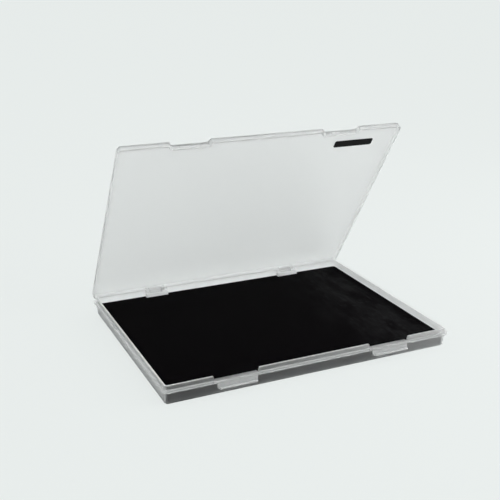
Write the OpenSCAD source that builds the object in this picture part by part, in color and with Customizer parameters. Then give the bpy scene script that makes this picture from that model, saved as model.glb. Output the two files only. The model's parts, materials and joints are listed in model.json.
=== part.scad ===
// Slim hinged pad case: a shallow tray with a flat inked pad, a shallow lid on two
// pinned hinges at the back, and two flap latches on the front ledge.
// The origin is the middle of the tray's underside, X to the right, Y to the back.

/* [Tray] */
// Width of the tray over its walls, at the foot
tray_w = 204; // [190:1:230]
// Depth of the tray over its walls, at the foot
tray_d = 149; // [140:1:170]
// Height of the underside of the ledge that the lid closes on
ledge_z = 8.3; // [8:0.1:10]
// Thickness of the ledge
ledge_t = 1.8; // [1.6:0.1:2.2]
// How far the ledge stands out past the foot of the wall
ledge_out = 2; // [1.8:0.1:2.4]
// How far the lip stands up above the ledge
lip_h = 2.65; // [2.2:0.05:2.8]
// Thickness of the lip
lip_t = 1.1; // [1:0.1:1.2]
// Thickness of the floor
floor_t = 1.2; // [1:0.1:1.6]
// Thickness of the wall just under the ledge
wall_t = 1.2; // [1.1:0.1:1.4]
// How much the wall leans out from its foot to the ledge
wall_lean = 0.5; // [0.3:0.1:0.6]
// Bevel round the foot of the tray
foot_bevel = 0.7; // [0.4:0.1:0.8]
// Corner radius of the wall
corner_r = 2.5; // [2.5:0.1:4]

/* [Lid] */
// How far the lid is open from closed, in degrees
lid_open = 57.8; // [0:0.1:180]
// Outer height of the lid
lid_h = 4.3; // [4.2:0.05:5]
// Thickness of the lid's panel
panel_t = 1.2; // [0.9:0.1:1.2]
// Bevel round the top of the lid
lid_bevel = 0.8; // [0.4:0.1:0.9]
// Thickness of the lid's skirt
skirt_t = 1.1; // [1:0.1:1.1]
// Depth of the bay in the lid's front edge at each latch
bay_depth = 3.4; // [3.2:0.1:3.6]
// Width of each bay at the lid's edge
bay_mouth_w = 28.4; // [28.2:0.1:31]
// Width of each bay at its inner end
bay_floor_w = 25.2; // [25:0.1:27]

/* [Hinges and latches] */
// Distance of each hinge and each latch from the middle of the case
station_x = 55.6; // [45:0.1:70]
// Width of each hinge pocket where it stands into the tray
pocket_w = 17; // [16:0.5:22]
// Width of each hinge ear on the tray
ear_w = 2.4; // [2:0.1:3]
// Outer radius of the ears and of the lid's knuckle
knuckle_r = 2; // [1.8:0.1:2.1]
// Radius of a hinge pin
hinge_pin_r = 0.8; // [0.6:0.1:0.9]
// Radial gap that lets a knuckle or a latch turn on its pin
running_gap = 0.05; // [0.03:0.01:0.08]
// Width of a latch at its barrel
latch_w = 27.5; // [26.5:0.1:27.6]
// Width of a latch at its tip
latch_tip_w = 26.6; // [24:0.1:26.8]
// Thickness of a latch
latch_t = 1.1; // [0.9:0.1:1.2]
// Reach of a latch from the middle of its barrel to its tip
latch_reach = 4.5; // [4.4:0.1:5.1]
// How far the latches are open from closed, in degrees
latch_open = 165; // [0:1:165]
// Radius of a latch pin
latch_pin_r = 0.5; // [0.4:0.05:0.5]

/* [Pad] */
// Thickness of the adhesive backing sheet
backing_t = 0.5; // [0.3:0.1:0.8]
// Thickness of the felt core
core_t = 5.4; // [4:0.1:5.4]
// Thickness of the cloth cover
cover_t = 0.8; // [0.5:0.1:1]
// Gap between the pad and the tray's wall
pad_gap = 0.2; // [0.1:0.05:0.4]

/* [Label] */
// Width of the plain bar printed inside the lid
label_w = 31; // [15:1:45]
// Height of the bar
label_h = 6; // [4:0.5:12]

/* [Hidden] */
$fn = 64;
over = 1;                                  // overrun of a cut past the face it opens
foot_x = tray_w / 2;
foot_y = tray_d / 2;
wall_x = foot_x + wall_lean;               // outer face of the wall at the ledge
wall_y = foot_y + wall_lean;
inner_x = wall_x - wall_t;                 // inner face of the wall
inner_y = wall_y - wall_t;
edge_x = foot_x + ledge_out;               // outline shared by the ledge and the lid
edge_y = foot_y + ledge_out;
edge_r = corner_r + 0.4;                    // squarer than the wall, as far as the lip allows
ledge_top = ledge_z + ledge_t;
lip_top = ledge_top + lip_h;
lid_gap = 0.05;                            // daylight under the closed lid's skirt
lid_z = ledge_top + lid_gap;
lid_top = lid_z + lid_h;
panel_z = lid_top - panel_t;
// hinge axis, behind the back wall and level with the ledge
hinge_y = foot_y + 2.6;
hinge_z = ledge_z + 1.5;
pocket_t = 1.1;                            // wall of a hinge pocket
pocket_y = inner_y - 3;                    // pocket's face towards the pad
recess_w = pocket_w - 2 * pocket_t;
knuckle_side_gap = 0.4;
knuckle_w = recess_w - 2 * (ear_w + knuckle_side_gap);
ear_clear_r = knuckle_r + 0.4;             // the lid's skirt stays this far off the ears
// latch axis, at the front edge of the ledge
latch_y = -(foot_y + 1.75);
latch_z = ledge_z + 0.9;
barrel_r = 0.95;
lug_w = 2;
lug_r = 0.9;
latch_side_gap = 0.2;
latch_cut_w = latch_w + 2 * latch_side_gap;
latch_tip_r = 1;
bay_y = -(edge_y - bay_depth);             // outer face of the skirt in a bay
hook_tip_y = bay_y - 0.4;
hook_h = 1.1;
latch_tip_z = latch_z + latch_reach;
hook_z = latch_tip_z - hook_h;
bead_w = 15;
bead_out = 0.7;
bead_h = 0.9;
bead_z = hook_z - 0.15 - bead_h;
shelf_y = bay_y + skirt_t + 0.1;           // inner edge of the shelf under a bay
notch_drop = 0.8;                          // the wall's top is this much lower at a latch
notch_z = ledge_top - notch_drop;
notch_foot_w = bay_mouth_w + 1.2;          // gap in the lip at a latch, at its foot
notch_top_w = bay_mouth_w + 2.2;           // and just under the rounded ends of the lip
lip_end_r = 0.8;                           // rounding of those ends
pad_r = 2;
core_z = floor_t + backing_t;
cover_z = core_z + core_t;
label_x = 71;
label_y = -(foot_y - 13.5);
label_t = 0.12;
label_r = 1.4;
shell = [0.84, 0.86, 0.86, 0.7];
black = [0.05, 0.05, 0.06];
milky = [0.9, 0.91, 0.9];

// flat rounded rectangle, from its half sizes
module plate(half_x, half_y, r) {
  square([2 * half_x, 2 * (half_y - r)], center = true);
  square([2 * (half_x - r), 2 * half_y], center = true);
  for (sx = [-1, 1], sy = [-1, 1])
    translate([sx * (half_x - r), sy * (half_y - r)]) circle(r);
}

module slab(half_x, half_y, r, z, h) {
  translate([0, 0, z]) linear_extrude(h) plate(half_x, half_y, r);
}

// box from its low corner to its high corner
module box(low, high) {
  translate(low) cube(high - low);
}

// round bar along X, centred on a point of its axis
module rod_x(x, y, z, r, w) {
  translate([x, y, z]) rotate([0, 90, 0]) cylinder(r = r, h = w, center = true);
}

// both hinge or both latch places
module at_stations() {
  for (side = [-1, 1]) translate([side * station_x, 0, 0]) children();
}

// ---- tray ----

module tray_block() {
  sheet = 0.01;
  hull() {
    slab(foot_x - foot_bevel, foot_y - foot_bevel, corner_r - foot_bevel, 0, sheet, $fn = 32);
    slab(foot_x, foot_y, corner_r, foot_bevel, sheet, $fn = 32);
    slab(wall_x, wall_y, corner_r, ledge_z, sheet, $fn = 32);
  }
  slab(wall_x, wall_y, corner_r, ledge_z, lip_top - ledge_z);
  difference() {
    slab(edge_x, edge_y, edge_r, ledge_z, ledge_t);
    box([-edge_x - over, wall_y, 0], [edge_x + over, edge_y + over, lip_top]);
  }
}

module tray_hollow() {
  slab(inner_x, inner_y, corner_r - wall_t, floor_t, ledge_top);
  slab(wall_x - lip_t, wall_y - lip_t, corner_r - lip_t, ledge_top, lip_h + over);
}

// gap in the front lip, a little wider at its top, where the lip's ends are rounded
module lip_notch() {
  end_z = lip_top - lip_end_r;
  depth = edge_y - wall_y + wall_t + 2 * over;
  translate([0, -wall_y + wall_t + over, 0]) rotate([90, 0, 0]) linear_extrude(depth) {
    polygon([[-notch_foot_w / 2, notch_z], [notch_foot_w / 2, notch_z],
             [notch_top_w / 2, end_z], [notch_top_w / 2, lip_top + over],
             [-notch_top_w / 2, lip_top + over], [-notch_top_w / 2, end_z]]);
    for (side = [-1, 1]) translate([side * (notch_top_w / 2 + lip_end_r), end_z]) difference() {
      translate([-side * lip_end_r / 2, lip_end_r / 2 + over / 2])
        square([lip_end_r + 0.01, lip_end_r + over], center = true);
      circle(lip_end_r);
    }
  }
}

module latch_slot() {
  box([-latch_cut_w / 2, -edge_y - over, ledge_z - over],
      [latch_cut_w / 2, -wall_y, ledge_top + over]);
}

module latch_lugs() {
  for (side = [-1, 1])
    rod_x(side * (latch_cut_w + lug_w) / 2, latch_y, latch_z, lug_r, lug_w);
}

// shelf behind the wall, under the lid's closed bay
module latch_shelf() {
  box([-notch_foot_w / 2, -wall_y + wall_t / 2, ledge_z], [notch_foot_w / 2, shelf_y, notch_z]);
}

// channel in the back wall that clears the lid's knuckle
module hinge_recess() {
  box([-recess_w / 2, pocket_y + pocket_t, -over], [recess_w / 2, edge_y + over, lip_top + over]);
  box([-pocket_w / 2, pocket_y, ledge_top], [pocket_w / 2, edge_y + over, lip_top + over]);
}

module hinge_pocket() {
  difference() {
    box([-pocket_w / 2, pocket_y, 0], [pocket_w / 2, foot_y - foot_bevel, ledge_top]);
    box([-recess_w / 2, pocket_y + pocket_t, -over], [recess_w / 2, edge_y, ledge_top + over]);
  }
}

module hinge_ears() {
  for (side = [-1, 1]) translate([side * (recess_w - ear_w) / 2, 0, 0]) {
    rod_x(0, hinge_y, hinge_z, knuckle_r, ear_w);
    box([-ear_w / 2, pocket_y + pocket_t / 2, hinge_z - knuckle_r],
        [ear_w / 2, hinge_y, ledge_top]);
  }
}

module tray() {
  color(shell) difference() {
    union() {
      difference() {
        tray_block();
        tray_hollow();
        at_stations() {
          lip_notch();
          latch_slot();
        }
      }
      at_stations() {
        latch_lugs();
        latch_shelf();
        hinge_pocket();
      }
    }
    at_stations() {
      hinge_recess();
      rod_x(0, latch_y, latch_z, latch_pin_r, latch_cut_w + 2 * lug_w + 2 * over);
    }
  }
  color(shell) at_stations() difference() {
    hinge_ears();
    rod_x(0, hinge_y, hinge_z, hinge_pin_r, recess_w + 2 * over);
  }
}

// ---- lid, drawn closed ----

// the two front bays of the lid, grown by inset
module lid_bays(inset) {
  for (side = [-1, 1]) translate([side * station_x, -edge_y]) {
    mouth = bay_mouth_w / 2 + inset;
    inner = bay_floor_w / 2 + inset;
    polygon([[-mouth, 0], [mouth, 0], [inner, bay_depth + inset], [-inner, bay_depth + inset]]);
    translate([-mouth, -over]) square([2 * mouth, over + 0.01]);
  }
}

// the lid's outside with a softened top edge
module lid_block() {
  sheet = 0.01;
  hull() {
    slab(edge_x, edge_y, edge_r, lid_z, lid_h - lid_bevel, $fn = 48);
    for (step = [0.3, 1])
      slab(edge_x - step * lid_bevel, edge_y - step * lid_bevel, edge_r - step * lid_bevel,
           lid_top - (1 - step) * lid_bevel * 0.45 - sheet, sheet, $fn = 48);
  }
}

module lid_shell() {
  difference() {
    lid_block();
    translate([0, 0, lid_z - over]) linear_extrude(lid_h + 2 * over) lid_bays(0);
    translate([0, 0, lid_z - over]) linear_extrude(panel_z - lid_z + over) difference() {
      plate(edge_x - skirt_t, edge_y - skirt_t, edge_r - skirt_t);
      lid_bays(skirt_t);
    }
    at_stations()
      box([-recess_w / 2 - knuckle_side_gap, hinge_y - ear_clear_r, lid_z - over],
          [recess_w / 2 + knuckle_side_gap, edge_y + over, hinge_z + ear_clear_r]);
  }
}

module lid_knuckle() {
  difference() {
    union() {
      rod_x(0, hinge_y, hinge_z, knuckle_r, knuckle_w);
      box([-knuckle_w / 2, edge_y - skirt_t, hinge_z], [knuckle_w / 2, edge_y, panel_z]);
    }
    rod_x(0, hinge_y, hinge_z, hinge_pin_r + running_gap, knuckle_w + 2 * over);
  }
}

// bead on a bay's face that the latch's hook closes over
module lid_bead() {
  translate([0, bay_y, bead_z]) rotate([90, 0, 90]) linear_extrude(bead_w, center = true)
    polygon([[0.2, 0], [-bead_out / 2, 0], [-bead_out, bead_h / 2], [-bead_out, bead_h],
             [0.2, bead_h]]);
}

module swing_lid() {
  translate([0, hinge_y, hinge_z]) rotate([-lid_open, 0, 0]) translate([0, -hinge_y, -hinge_z])
    children();
}

module lid() {
  color(shell) swing_lid() {
    lid_shell();
    at_stations() {
      lid_knuckle();
      lid_bead();
    }
  }
}

module lid_label() {
  color(black) swing_lid() translate([label_x, label_y, panel_z - label_t])
    linear_extrude(label_t) plate(label_w / 2, label_h / 2, label_r);
}

// ---- latches, drawn closed ----

module latch_plate() {
  root_r = 0.3;
  translate([0, latch_y - barrel_r + latch_t, 0]) rotate([90, 0, 0]) linear_extrude(latch_t)
    hull() {
      for (side = [-1, 1]) {
        translate([side * (latch_w / 2 - root_r), latch_z]) circle(root_r, $fn = 32);
        translate([side * (latch_tip_w / 2 - latch_tip_r), latch_tip_z - latch_tip_r])
          circle(latch_tip_r, $fn = 32);
      }
    }
}

module latch_hook() {
  back = latch_y - barrel_r + latch_t / 2;
  rotate([90, 0, 90]) linear_extrude(latch_tip_w - 2 * latch_tip_r, center = true)
    polygon([[back, hook_z], [hook_tip_y - 0.2, hook_z], [hook_tip_y, hook_z + 0.2],
             [hook_tip_y - 0.6, latch_tip_z], [back, latch_tip_z]]);
}

module latch(side) {
  color([0.9, 0.92, 0.92, 0.85]) translate([side * station_x, latch_y, latch_z])
    rotate([latch_open, 0, 0]) translate([0, -latch_y, -latch_z]) difference() {
      union() {
        rod_x(0, latch_y, latch_z, barrel_r, latch_w);
        latch_plate();
        latch_hook();
      }
      rod_x(0, latch_y, latch_z, latch_pin_r + running_gap, latch_w + 2 * over);
    }
}

// ---- pins ----

module hinge_pin(side) {
  color(milky) rod_x(side * station_x, hinge_y, hinge_z, hinge_pin_r, recess_w);
}

module latch_pin(side) {
  color(milky) rod_x(side * station_x, latch_y, latch_z, latch_pin_r, latch_cut_w + 2 * lug_w);
}

// ---- pad ----

// one layer of the pad, cut back round the hinge pockets
module pad_layer(z, t) {
  difference() {
    slab(inner_x - pad_gap, inner_y - pad_gap, pad_r, z, t);
    at_stations()
      box([-pocket_w / 2 - pad_gap, pocket_y - pad_gap, z - over],
          [pocket_w / 2 + pad_gap, inner_y + over, z + t + over]);
  }
}

module pad_backing() {
  color([0.2, 0.2, 0.21]) pad_layer(floor_t, backing_t);
}

module pad_core() {
  color([0.12, 0.12, 0.13]) pad_layer(core_z, core_t);
}

module pad_cover() {
  color(black) pad_layer(cover_z, cover_t);
}

tray();
lid();
latch(-1);  // latch_left
latch(1);  // latch_right
hinge_pin(-1);  // hinge_pin_left
hinge_pin(1);  // hinge_pin_right
latch_pin(-1);  // latch_pin_left
latch_pin(1);  // latch_pin_right
pad_backing();
pad_core();
pad_cover();
lid_label();
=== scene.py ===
import json
import math

import bpy
from mathutils import Matrix, Vector


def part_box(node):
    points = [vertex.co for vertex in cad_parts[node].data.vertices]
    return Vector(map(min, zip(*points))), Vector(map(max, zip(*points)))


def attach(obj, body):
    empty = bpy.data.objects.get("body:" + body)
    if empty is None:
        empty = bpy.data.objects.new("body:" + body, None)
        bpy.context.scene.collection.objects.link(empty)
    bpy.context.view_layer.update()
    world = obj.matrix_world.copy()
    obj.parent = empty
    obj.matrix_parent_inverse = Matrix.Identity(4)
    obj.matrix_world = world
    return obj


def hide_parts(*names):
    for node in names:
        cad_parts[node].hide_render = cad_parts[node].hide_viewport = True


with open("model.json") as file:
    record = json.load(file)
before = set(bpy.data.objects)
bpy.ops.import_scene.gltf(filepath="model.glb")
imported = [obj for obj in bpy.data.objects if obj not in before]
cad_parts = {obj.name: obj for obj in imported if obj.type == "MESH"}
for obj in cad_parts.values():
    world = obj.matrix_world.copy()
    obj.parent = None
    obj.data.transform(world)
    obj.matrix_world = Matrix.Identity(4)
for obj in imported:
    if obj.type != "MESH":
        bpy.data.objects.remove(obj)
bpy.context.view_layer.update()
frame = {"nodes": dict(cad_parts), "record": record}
print("frame loaded:", len(frame["nodes"]), "nodes")


class Wire:
    # a node's output that can be used in plain arithmetic
    def __init__(self, finish, socket):
        self.finish = finish
        self.socket = socket

    def other(self, name):
        return Wire(self.finish, self.socket.node.outputs[name])

    def maths(self, operation, *values):
        inputs = dict(enumerate((self,) + values))
        return self.finish.add("ShaderNodeMath", {"operation": operation}, inputs)

    def __add__(self, value):
        return self.maths("ADD", value)

    def __radd__(self, value):
        return self.maths("ADD", value)

    def __sub__(self, value):
        return self.maths("SUBTRACT", value)

    def __rsub__(self, value):
        return self.finish.add("ShaderNodeMath", {"operation": "SUBTRACT"}, {0: value, 1: self})

    def __mul__(self, value):
        return self.maths("MULTIPLY", value)

    def __abs__(self):
        return self.maths("ABSOLUTE")

    def most(self, value):
        return self.maths("MAXIMUM", value)

    def least(self, value):
        return self.maths("MINIMUM", value)

    def clamped(self):
        return self.most(0.0).least(1.0)

    def wave(self, pitch):
        return (self * (2 * math.pi / pitch)).maths("SINE")

    def rise(self, low, high):
        # 0 below low, 1 above high, smooth between; falls instead if low is above high
        span = {0: self, 1: low, 2: high, 3: 0.0, 4: 1.0}
        if low > high:
            span = {0: self, 1: high, 2: low, 3: 1.0, 4: 0.0}
        return self.finish.add("ShaderNodeMapRange", {"interpolation_type": "SMOOTHSTEP"}, span)


class Finish:
    # one material and the nodes it is made of
    def __init__(self, name):
        self.material = bpy.data.materials.new(name)
        self.material.use_nodes = True
        self.tree = self.material.node_tree
        self.tree.nodes.clear()

    def add(self, kind, settings=None, inputs=None, output=0):
        node = self.tree.nodes.new(kind)
        for name, value in (settings or {}).items():
            setattr(node, name, value)
        for name, value in (inputs or {}).items():
            if isinstance(value, Wire):
                self.tree.links.new(value.socket, node.inputs[name])
            else:
                node.inputs[name].default_value = value
        return Wire(self, node.outputs[output])

    def coords(self):
        return self.add("ShaderNodeTexCoord", output="Object")

    def axes(self, where):
        x = self.add("ShaderNodeSeparateXYZ", None, {0: where})
        return x, x.other("Y"), x.other("Z")

    def noise(self, where, scale, detail=2.0, rough=0.5, stretch=None):
        if stretch:
            where = self.add("ShaderNodeMapping", None, {"Vector": where, "Scale": stretch})
        inputs = {"Vector": where, "Scale": scale, "Detail": detail, "Roughness": rough}
        return self.add("ShaderNodeTexNoise", None, inputs)

    def mix(self, colourA, colourB, amount):
        settings = {"data_type": "RGBA"}
        return self.add("ShaderNodeMix", settings, {0: amount, 6: colourA, 7: colourB}, output=2)

    def bump(self, height, strength, distance):
        inputs = {"Height": height, "Strength": strength, "Distance": distance}
        return self.add("ShaderNodeBump", None, inputs)

    def shader(self, inputs):
        return self.add("ShaderNodeBsdfPrincipled", None, inputs)

    def output(self, shader):
        out = self.tree.nodes.new("ShaderNodeOutputMaterial")
        self.tree.links.new(shader.socket, out.inputs["Surface"])
        return self.material

    def surface(self, inputs):
        return self.output(self.shader(inputs))


def grey(level):
    return (level, level, level, 1.0)


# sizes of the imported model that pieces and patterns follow
coverLow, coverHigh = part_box("pad_cover")
coreLow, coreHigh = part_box("pad_core")
joints = {joint["name"]: joint for joint in frame["record"]["behaviour"]["joints"]}
lidHinge = joints["lid_hinge"]
# the hinges and the latches stand this far to each side of the middle
station = joints["latch_right_hinge"]["pos_m"][0]


# frosted plastic of the tray, the lid, the latches and the pins
# a noise is its scale per metre, detail, roughness and stretch
frosted = {
    "dull": (0.966, 0.962, 0.964, 1.0),
    "clear": (0.995, 0.990, 0.993, 1.0),
    "milk": (0.975, 0.972, 0.975, 1.0),
    "see": 0.985,
    "milkSee": 0.30,
    "glow": 0.006,
    "glowSpread": (1.0, 1.0, 1.0),
    "bend": 1.36,
    "rough": 0.40,
    "milkRough": 0.08,
    "cloud": (28.0, 3.0, 0.55),
    "streak": (60.0, 2.0, 0.5, (0.35, 3.0, 1.0)),
    "grain": (1 / 0.00035, 2.0, 0.6),
    "scuff": (420.0, 4.0, 0.62, (1.0, 0.22, 1.0)),
    "scuffEdge": (0.62, 0.74),
    "bump": (0.14, 0.00006),
    "cloudHaze": 0.5,
    "streakHaze": 0.32,
    "cloudRough": 0.10,
    "scuffRough": 0.08,
    "grainRough": 0.05,
    "hazeMilk": 0.03,
    "scuffMilk": 0.02,
}


def frostedBody(name, thick):
    # clear frosted plastic that turns milky where thick is near 1
    finish = Finish(name)
    where = finish.coords()
    cloud = finish.noise(where, *frosted["cloud"]) - 0.5
    streak = finish.noise(where, *frosted["streak"]) - 0.5
    grain = finish.noise(where, *frosted["grain"])
    scuff = finish.noise(where, *frosted["scuff"]).rise(*frosted["scuffEdge"])
    haze = cloud * frosted["cloudHaze"] + streak * frosted["streakHaze"] + 0.5
    rough = frosted["rough"] + cloud * frosted["cloudRough"] + scuff * frosted["scuffRough"]
    rough = rough + (grain - 0.5) * frosted["grainRough"]
    normal = finish.bump(grain, *frosted["bump"])
    milk = thick(finish, where) + (haze - 0.5) * frosted["hazeMilk"] + scuff * frosted["scuffMilk"]
    clear = finish.shader({
        "Base Color": finish.mix(frosted["dull"], frosted["clear"], haze.clamped()),
        "Roughness": rough,
        "Normal": normal,
        "IOR": frosted["bend"],
        "Transmission Weight": frosted["see"],
    })
    milky = finish.shader({
        "Base Color": frosted["milk"],
        "Roughness": rough + frosted["milkRough"],
        "Normal": normal,
        "IOR": frosted["bend"],
        "Transmission Weight": frosted["milkSee"],
        "Subsurface Weight": 1.0,
        "Subsurface Radius": frosted["glowSpread"],
        "Subsurface Scale": frosted["glow"],
    })
    blend = finish.add("ShaderNodeMixShader", None, {0: milk.clamped(), 1: clear, 2: milky})
    return finish.output(blend)


def strongestZone(finish, place, zones):
    # each zone has its amount and the bands that bound it, in metres
    x, y, z = finish.axes(place)
    across = {
        "x": x,
        "y": y,
        "z": z,
        "besideX": abs(x),
        "besideY": abs(y),
        "fromStation": abs(abs(x) - station),
    }
    strongest = None
    for amount, bands in zones.values():
        zone = None
        for axis, low, high in bands:
            band = across[axis].rise(low, high)
            zone = band if zone is None else zone * band
        zone = zone * amount
        strongest = zone if strongest is None else strongest.most(zone)
    return strongest


# how milky the tray is, zone by zone; the lip gets milkier to the right, and the front zone holds only
# the right part of the front wall: both paint the lighter right side that the light from the right gives
trayZones = {
    "ledgeSides": (0.48, [("besideX", 0.1026, 0.1029), ("z", 0.0081, 0.0083), ("z", 0.0103, 0.0101)]),
    "ledgeFront": (0.48, [("y", -0.0751, -0.0754), ("z", 0.0081, 0.0083), ("z", 0.0103, 0.0101)]),
    "top": (0.75, [("z", 0.0124, 0.01272)]),
    "foot": (0.10, [("z", 0.0008, 0.0001)]),
    "corners": (0.30, [("besideX", 0.1008, 0.1020), ("besideY", 0.0733, 0.0745)]),
    # painted light: only the right part of the front wall is milkier, so lighter
    "front": (0.32, [("y", -0.0740, -0.0744), ("x", 0.02, 0.105)]),
    "right": (0.12, [("x", 0.1010, 0.1014)]),
    "left": (0.28, [("x", -0.1005, -0.1010), ("z", 0.0081, 0.0084)]),
    "back": (0.12, [("y", 0.0680, 0.0684)]),
    "pockets": (0.92, [("fromStation", 0.0090, 0.0086), ("y", 0.0690, 0.0694)]),
}
trayLip = {
    "foot": (0.0100, 0.0102),
    "milk": 0.10,
    "leftPart": (-0.08, 0.02),
    "leftGain": 0.12,
    "rightPart": (0.0, 0.10),
    "rightGain": 0.22,
}


def trayThick(finish, where):
    x, y, z = finish.axes(where)
    # painted light: the lip turns milkier, so lighter, towards the right side where the light falls
    gain = x.rise(*trayLip["leftPart"]) * trayLip["leftGain"]
    gain = gain + x.rise(*trayLip["rightPart"]) * trayLip["rightGain"]
    lip = z.rise(*trayLip["foot"]) * (gain + trayLip["milk"])
    return strongestZone(finish, where, trayZones).most(lip)


# how milky the lid is, with places as if it were shut
lidMilk = 0.05
lidZones = {
    "sides": (0.10, [("besideX", 0.1028, 0.1036)]),
    "front": (0.10, [("y", -0.0753, -0.0761)]),
    "rim": (0.30, [("z", 0.0108, 0.0102)]),
    "back": (0.60, [("y", 0.0750, 0.0755)]),
    "knuckles": (0.92, [("fromStation", 0.0080, 0.0076), ("y", 0.0758, 0.0762), ("z", 0.0130, 0.0120)]),
}


def lidThick(finish, where):
    # the open lid's points are turned back to where they are when it is shut
    pivot = Vector(lidHinge["pos_m"])
    turn = math.radians(-lidHinge["range_deg"][0])
    moved = finish.add("ShaderNodeVectorMath", {"operation": "SUBTRACT"}, {0: where, 1: pivot})
    turned = finish.add("ShaderNodeMapping", None, {"Vector": moved, "Rotation": (turn, 0, 0)})
    place = finish.add("ShaderNodeVectorMath", {"operation": "ADD"}, {0: turned, 1: pivot})
    return strongestZone(finish, place, lidZones) + lidMilk


latchMilk = {
    "all": 0.50,
    "top": (0.0052, 0.0080),
    "topGain": 0.10,
    "tip": (0.0060, 0.0050),
    "tipGain": 0.15,
}
pinMilk = {"all": 0.35, "noise": (300.0, 2.0, 0.5), "gain": 0.1}


def latchThick(finish, where):
    z = finish.axes(where)[2]
    gain = z.rise(*latchMilk["top"]) * latchMilk["topGain"]
    gain = gain + z.rise(*latchMilk["tip"]) * latchMilk["tipGain"]
    return gain + latchMilk["all"]


def pinThick(finish, where):
    return finish.noise(where, *pinMilk["noise"]) * pinMilk["gain"] + pinMilk["all"]


# inked cloth over the felt; dried ink smears lie only in a band at its right end, where the lighter
# colour also paints the sheen of the light from the right, with a darker strip along the right wall
# towards the back
inkedCloth = {
    "ink": (0.0016, 0.0012, 0.0016, 1.0),
    "dryAndSheen": (0.0125, 0.0125, 0.0130, 1.0),
    "gloss": 0.006,
    "thread": 0.00042,
    "fuzz": (2600.0, 3.0, 0.6),
    "rough": 0.58,
    "dryRough": 0.16,
    "fuzzRough": 0.10,
    "threadHeight": 0.5,
    "fuzzHeight": 0.8,
    "dryHeight": 0.5,
    "bump": (0.35, 0.00006),
    "sheenBand": (0.036, 0.078),
    "sheenBandWander": 0.05,
    "wallStripAcross": (0.0935, 0.0955),
    "wallStripAlong": (-0.06, 0.02),
    "wallStripShare": 0.75,
    "spots": (0.60, 0.72),
    "spotGain": 0.07,
    "backEdge": (0.050, 0.072),
    "backGain": 0.10,
}
stains = {
    "smear": {"noise": (30.0, 5.0, 0.6, (2.6, 0.9, 1.0)), "edge": (0.34, 0.62), "gain": 0.70},
    "dab": {"noise": (70.0, 5.0, 0.65), "edge": (0.50, 0.66), "gain": 0.40},
    "streak": {"noise": (260.0, 3.0, 0.6, (1.0, 0.10, 1.0)), "edge": (0.52, 0.72), "gain": 0.55},
    "fleck": {"noise": (330.0, 3.0, 0.6, (1.0, 0.4, 1.0)), "edge": (0.56, 0.66), "gain": 0.60},
}


def clothFinish():
    finish = Finish("inkedClothBlack")
    where = finish.coords()
    x, y, z = finish.axes(where)
    weave = x.wave(inkedCloth["thread"]) * y.wave(inkedCloth["thread"])
    fuzz = finish.noise(where, *inkedCloth["fuzz"])
    marks = {name: finish.noise(where, *stain["noise"]) for name, stain in stains.items()}
    # the right end of the cloth is a band of painted sheen from the light on the right; the smears inside
    # it are dried ink
    sheenBand = (x + (marks["smear"] - 0.5) * inkedCloth["sheenBandWander"]).rise(*inkedCloth["sheenBand"])
    # less of the lighter colour in a strip along the right wall, towards the back
    wallStrip = x.rise(*inkedCloth["wallStripAcross"]) * y.rise(*inkedCloth["wallStripAlong"])
    # the lighter colour: real dried smears and spots, plus the painted sheen of the right-end band
    driedAndSheen = sheenBand * sum(marks[name].rise(*stain["edge"]) * stain["gain"] for name, stain in stains.items())
    driedAndSheen = driedAndSheen + marks["dab"].rise(*inkedCloth["spots"]) * inkedCloth["spotGain"]
    driedAndSheen = driedAndSheen + y.rise(*inkedCloth["backEdge"]) * marks["smear"] * inkedCloth["backGain"]
    driedAndSheen = driedAndSheen * (1 - wallStrip * inkedCloth["wallStripShare"])
    rough = inkedCloth["rough"] + driedAndSheen * inkedCloth["dryRough"] + (fuzz - 0.5) * inkedCloth["fuzzRough"]
    height = weave * inkedCloth["threadHeight"] + (fuzz - 0.5) * inkedCloth["fuzzHeight"]
    height = height + driedAndSheen * inkedCloth["dryHeight"]
    return finish.surface({
        "Base Color": finish.mix(inkedCloth["ink"], inkedCloth["dryAndSheen"], driedAndSheen.least(1.0)),
        "Roughness": rough,
        "Normal": finish.bump(height, *inkedCloth["bump"]),
        "Specular IOR Level": inkedCloth["gloss"],
    })


inkedFelt = {
    "dark": grey(0.008),
    "pale": grey(0.030),
    "gloss": 0.12,
    "fibre": (900.0, 5.0, 0.68, (1.0, 1.0, 2.6)),
    "fibreEdge": (0.35, 0.75),
    "fibreShare": 0.7,
    "layer": (300.0, 2.0, 0.5, (0.15, 0.15, 6.0)),
    "layerShare": 0.3,
    "layerHeight": 0.6,
    "rough": 0.86,
    "fibreRough": 0.2,
    "bump": (0.7, 0.0002),
}


def feltFinish():
    finish = Finish("inkedFeltBlack")
    where = finish.coords()
    fibre = finish.noise(where, *inkedFelt["fibre"])
    layer = finish.noise(where, *inkedFelt["layer"])
    pale = fibre.rise(*inkedFelt["fibreEdge"]) * inkedFelt["fibreShare"] + layer * inkedFelt["layerShare"]
    return finish.surface({
        "Base Color": finish.mix(inkedFelt["dark"], inkedFelt["pale"], pale),
        "Roughness": inkedFelt["rough"] + (fibre - 0.5) * inkedFelt["fibreRough"],
        "Normal": finish.bump(fibre + layer * inkedFelt["layerHeight"], *inkedFelt["bump"]),
        "Specular IOR Level": inkedFelt["gloss"],
    })


adhesiveSheet = {
    "dark": grey(0.010),
    "pale": grey(0.028),
    "speck": (1500.0, 3.0, 0.6),
    "speckShare": 0.4,
    "patch": (40.0, 3.0, 0.5),
    "patchShare": 0.6,
    "rough": 0.6,
    "speckRough": 0.2,
    "bump": (0.2, 0.00005),
}


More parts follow.
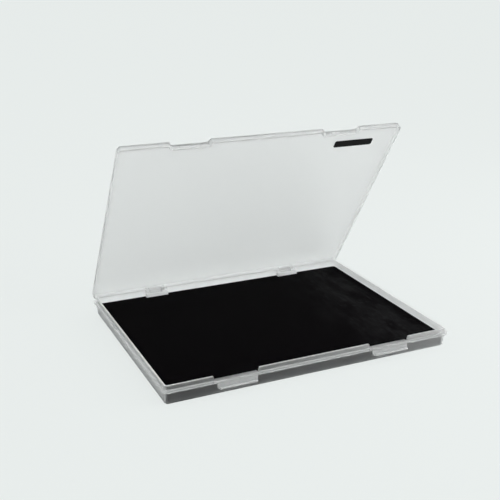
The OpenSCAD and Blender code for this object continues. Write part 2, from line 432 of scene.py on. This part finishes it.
def backingFinish():
    finish = Finish("adhesiveSheetBlack")
    where = finish.coords()
    speck = finish.noise(where, *adhesiveSheet["speck"])
    patch = finish.noise(where, *adhesiveSheet["patch"])
    pale = patch * adhesiveSheet["patchShare"] + speck * adhesiveSheet["speckShare"]
    return finish.surface({
        "Base Color": finish.mix(adhesiveSheet["dark"], adhesiveSheet["pale"], pale),
        "Roughness": adhesiveSheet["rough"] + (speck - 0.5) * adhesiveSheet["speckRough"],
        "Normal": finish.bump(speck, *adhesiveSheet["bump"]),
    })


# the plain print on the lid, a little thinner in places
plainPrint = {
    "dark": grey(0.002),
    "pale": grey(0.016),
    "gloss": 0.08,
    "dot": (1900.0, 3.0, 0.6),
    "dotShare": 0.15,
    "thin": (260.0, 3.0, 0.6),
    "thinEdge": (0.60, 0.80),
    "thinShare": 0.6,
    "rough": 0.5,
    "dotRough": 0.2,
    "bump": (0.15, 0.00003),
}


def printFinish():
    finish = Finish("plainBlackPrint")
    where = finish.coords()
    dot = finish.noise(where, *plainPrint["dot"])
    thin = finish.noise(where, *plainPrint["thin"]).rise(*plainPrint["thinEdge"])
    pale = thin * plainPrint["thinShare"] + dot * plainPrint["dotShare"]
    return finish.surface({
        "Base Color": finish.mix(plainPrint["dark"], plainPrint["pale"], pale),
        "Roughness": plainPrint["rough"] + (dot - 0.5) * plainPrint["dotRough"],
        "Normal": finish.bump(dot, *plainPrint["bump"]),
        "Specular IOR Level": plainPrint["gloss"],
    })


def give(nodeName, material):
    slots = frame["nodes"][nodeName].data.materials
    slots.clear()
    slots.append(material)


latchMaterial = frostedBody("frostedLatch", latchThick)
pinMaterial = frostedBody("frostedPin", pinThick)
give("tray", frostedBody("frostedTray", trayThick))
give("lid", frostedBody("frostedLid", lidThick))
for side in ("left", "right"):
    give("latch_" + side, latchMaterial)
    give("hinge_pin_" + side, pinMaterial)
    give("latch_pin_" + side, pinMaterial)
give("pad_backing", backingFinish())
give("lid_label", printFinish())
print("finishes on the moulded and printed parts")


# the pad, cut from a grid so it follows the hinge pockets
padCut = {
    "cells": (90, 66),
    "cornerRadius": 0.002,
    "cornerSteps": 5,
    "cornerCatch": 0.0001,
    "pocketHalf": 0.0087,
    "pocketDepth": 0.0032,
    "weld": 0.00005,
}
felt = {
    "edge": 0.0007,
    "edgeSteps": 3,
    "lumps": 0.00022,
    "lumpSize": 0.014,
    "smoothAngle": 40,
}
cloth = {
    "edge": 0.0006,
    "edgeSteps": 4,
    "hemGap": 0.0001,
    "ripple": 0.00016,
    "rippleSize": 0.030,
    "thickness": 0.00025,
    "smoothAngle": 60,
}
# edges sharper than this are rounded
sharpAngle = 50


def clearSelection():
    if bpy.context.object and bpy.context.object.mode != "OBJECT":
        bpy.ops.object.mode_set(mode="OBJECT")
    bpy.ops.object.select_all(action="DESELECT")


def choose(piece, kind, test):
    # select faces or vertices of the piece by their place
    bpy.ops.mesh.select_mode(type=kind)
    bpy.ops.mesh.select_all(action="DESELECT")
    bpy.ops.object.mode_set(mode="OBJECT")
    if kind == "FACE":
        for face in piece.data.polygons:
            face.select = test(face.center)
    else:
        for point in piece.data.vertices:
            point.select = test(point.co)
    bpy.ops.object.mode_set(mode="EDIT")


def padSheet(name, low, high):
    # a flat sheet with the pad's outline, lying at the top of the given box
    size = high - low
    centre = (low + high) / 2
    clearSelection()
    bpy.ops.mesh.primitive_grid_add(
        x_subdivisions=padCut["cells"][0],
        y_subdivisions=padCut["cells"][1],
        size=1,
        location=(centre.x, centre.y, high.z),
    )
    piece = bpy.context.object
    piece.name = name
    piece.scale = (size.x, size.y, 1)
    bpy.ops.object.transform_apply(location=True, rotation=True, scale=True)
    bpy.ops.object.mode_set(mode="EDIT")
    pocketLine = high.y - padCut["pocketDepth"]
    cuts = [((0, pocketLine, 0), (0, 1, 0))]
    for side in (-1, 1):
        for reach in (-1, 1):
            place = side * station + reach * padCut["pocketHalf"]
            cuts.append(((place, 0, 0), (1, 0, 0)))
    for place, direction in cuts:
        bpy.ops.mesh.select_all(action="SELECT")
        bpy.ops.mesh.bisect(plane_co=place, plane_no=direction)

    def inPocket(point):
        return point.y > pocketLine and abs(abs(point.x) - station) < padCut["pocketHalf"]

    def inCorner(point):
        beside = size.x / 2 - abs(point.x - centre.x)
        behind = size.y / 2 - abs(point.y - centre.y)
        return max(beside, behind) < padCut["cornerCatch"]

    choose(piece, "FACE", inPocket)
    bpy.ops.mesh.delete(type="FACE")
    choose(piece, "VERT", inCorner)
    bpy.ops.mesh.bevel(
        offset=padCut["cornerRadius"],
        segments=padCut["cornerSteps"],
        affect="VERTICES",
    )
    bpy.ops.mesh.select_all(action="SELECT")
    bpy.ops.mesh.remove_doubles(threshold=padCut["weld"])
    bpy.ops.mesh.normals_make_consistent(inside=False)
    return piece


def selectRim():
    bpy.ops.mesh.select_mode(type="EDGE")
    bpy.ops.mesh.select_all(action="DESELECT")
    bpy.ops.mesh.select_non_manifold(
        extend=False,
        use_wire=False,
        use_boundary=True,
        use_multi_face=False,
        use_non_contiguous=False,
        use_verts=False,
    )


def closeMesh():
    bpy.ops.mesh.select_all(action="SELECT")
    bpy.ops.mesh.normals_make_consistent(inside=False)
    bpy.ops.object.mode_set(mode="OBJECT")


def roundEdges(piece, name, soft):
    modifier = piece.modifiers.new(name, "BEVEL")
    modifier.width = soft["edge"]
    modifier.segments = soft["edgeSteps"]
    modifier.limit_method = "ANGLE"
    modifier.angle_limit = math.radians(sharpAngle)
    bpy.ops.object.modifier_apply(modifier=modifier.name)


def lumps(piece, name, size, strength):
    texture = bpy.data.textures.new(name, "CLOUDS")
    texture.noise_scale = size
    texture.noise_depth = 2
    modifier = piece.modifiers.new(name, "DISPLACE")
    modifier.texture = texture
    modifier.texture_coords = "LOCAL"
    modifier.direction = "Z"
    modifier.strength = strength
    modifier.mid_level = 1.0
    bpy.ops.object.modifier_apply(modifier=modifier.name)


def makeFelt():
    piece = padSheet("padFelt", coreLow, coreHigh)
    bpy.ops.mesh.select_all(action="SELECT")
    depth = coreHigh.z - coreLow.z
    bpy.ops.mesh.extrude_region_move(TRANSFORM_OT_translate={"value": (0, 0, -depth)})
    closeMesh()
    roundEdges(piece, "edges", felt)
    lumps(piece, "feltLumps", felt["lumpSize"], felt["lumps"])
    bpy.ops.object.shade_smooth_by_angle(angle=math.radians(felt["smoothAngle"]))
    piece.data.materials.append(feltFinish())
    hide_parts("pad_core")
    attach(piece, "tray")
    return piece


def makeCloth():
    piece = padSheet("padCloth", coverLow, coverHigh)
    selectRim()
    depth = coverHigh.z - coverLow.z - cloth["hemGap"]
    bpy.ops.mesh.extrude_edges_move(TRANSFORM_OT_translate={"value": (0, 0, -depth)})
    closeMesh()
    roundEdges(piece, "turnedEdge", cloth)
    lumps(piece, "clothRipple", cloth["rippleSize"], cloth["ripple"])
    modifier = piece.modifiers.new("clothThickness", "SOLIDIFY")
    modifier.thickness = cloth["thickness"]
    modifier.offset = -1
    bpy.ops.object.modifier_apply(modifier=modifier.name)
    bpy.ops.object.shade_smooth_by_angle(angle=math.radians(cloth["smoothAngle"]))
    piece.data.materials.append(clothFinish())
    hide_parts("pad_cover")
    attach(piece, "tray")
    turned = 2 * depth
    size = coverHigh - coverLow
    flat = (size.x + turned, size.y + turned)
    pockets = 2 * (2 * padCut["pocketHalf"] * padCut["pocketDepth"])
    flat[0] * flat[1] - pockets
    return piece


padFelt = makeFelt()
padCloth = makeCloth()
print("pad made:", len(padFelt.data.polygons), "felt faces,", len(padCloth.data.polygons), "cloth faces")


# floor, light and camera
studio = {
    "floorSize": 60.0,
    "floorDrop": 0.00005,
    "floorTone": (0.110, 0.113, 0.112),
    "floorGlow": (0.705, 0.738, 0.728, 1.0),
    "tooth": (900.0, 3.0, 0.5),
    "toothShade": 0.01,
    "worldTone": (0.822, 0.852, 0.842, 1.0),
}
softboxes = [
    {
        "name": "sideBox",
        "place": (0.62, -0.30, 0.24),
        "aim": (0.08, -0.05, 0.02),
        "size": (0.5, 0.4),
        "power": 2.8,
    },
    {
        "name": "topBox",
        "place": (0.5, 0.2, 1.8),
        "aim": (0.0, 0.0, 0.0),
        "size": (1.6, 1.6),
        "power": 1.5,
    },
]
eye = {
    "place": (-0.2501, -0.5009, 0.2569),
    "turn": 25.42,
    "down": 19.41,
    "roll": 0.70,
    "lens": 61.40,
    "sensor": 36.0,
    "clip": (0.01, 100.0),
}


def makeFloor():
    clearSelection()
    bpy.ops.mesh.primitive_plane_add(size=studio["floorSize"], location=(0, 0, -studio["floorDrop"]))
    floor = bpy.context.object
    floor.name = "paleFloor"
    finish = Finish("palePaper")
    tooth = finish.noise(finish.coords(), *studio["tooth"])
    darker, paler = (
        tuple(part * shade for part in studio["floorTone"]) + (1.0,)
        for shade in (1 - studio["toothShade"], 1 + studio["toothShade"])
    )
    floor.data.materials.append(finish.surface({
        "Base Color": finish.mix(darker, paler, tooth),
        "Roughness": 1.0,
        "Specular IOR Level": 0.0,
        "Emission Color": studio["floorGlow"],
        "Emission Strength": 1.0,
    }))


def makeLights():
    world = bpy.data.worlds.new("paleRoom")
    world.use_nodes = True
    background = world.node_tree.nodes["Background"]
    background.inputs["Color"].default_value = studio["worldTone"]
    background.inputs["Strength"].default_value = 1.0
    bpy.context.scene.world = world
    for box in softboxes:
        light = bpy.data.lights.new(box["name"], "AREA")
        light.shape = "RECTANGLE"
        light.size, light.size_y = box["size"]
        light.energy = box["power"]
        lamp = bpy.data.objects.new(box["name"], light)
        bpy.context.collection.objects.link(lamp)
        place = Vector(box["place"])
        lamp.location = place
        lamp.rotation_euler = (Vector(box["aim"]) - place).to_track_quat("-Z", "Y").to_euler()


def makeCamera():
    camera = bpy.data.objects.new("camera", bpy.data.cameras.new("camera"))
    bpy.context.collection.objects.link(camera)
    camera.data.lens = eye["lens"]
    camera.data.sensor_width = eye["sensor"]
    camera.data.clip_start, camera.data.clip_end = eye["clip"]
    heading = Matrix.Rotation(math.radians(-eye["turn"]), 4, "Z")
    tilt = Matrix.Rotation(math.radians(90 - eye["down"]), 4, "X")
    roll = Matrix.Rotation(math.radians(eye["roll"]), 4, "Z")
    camera.matrix_world = Matrix.Translation(eye["place"]) @ heading @ tilt @ roll
    bpy.context.scene.camera = camera


makeFloor()
makeLights()
makeCamera()
bpy.context.scene.view_settings.view_transform = "Standard"
print("floor, lights and camera set")
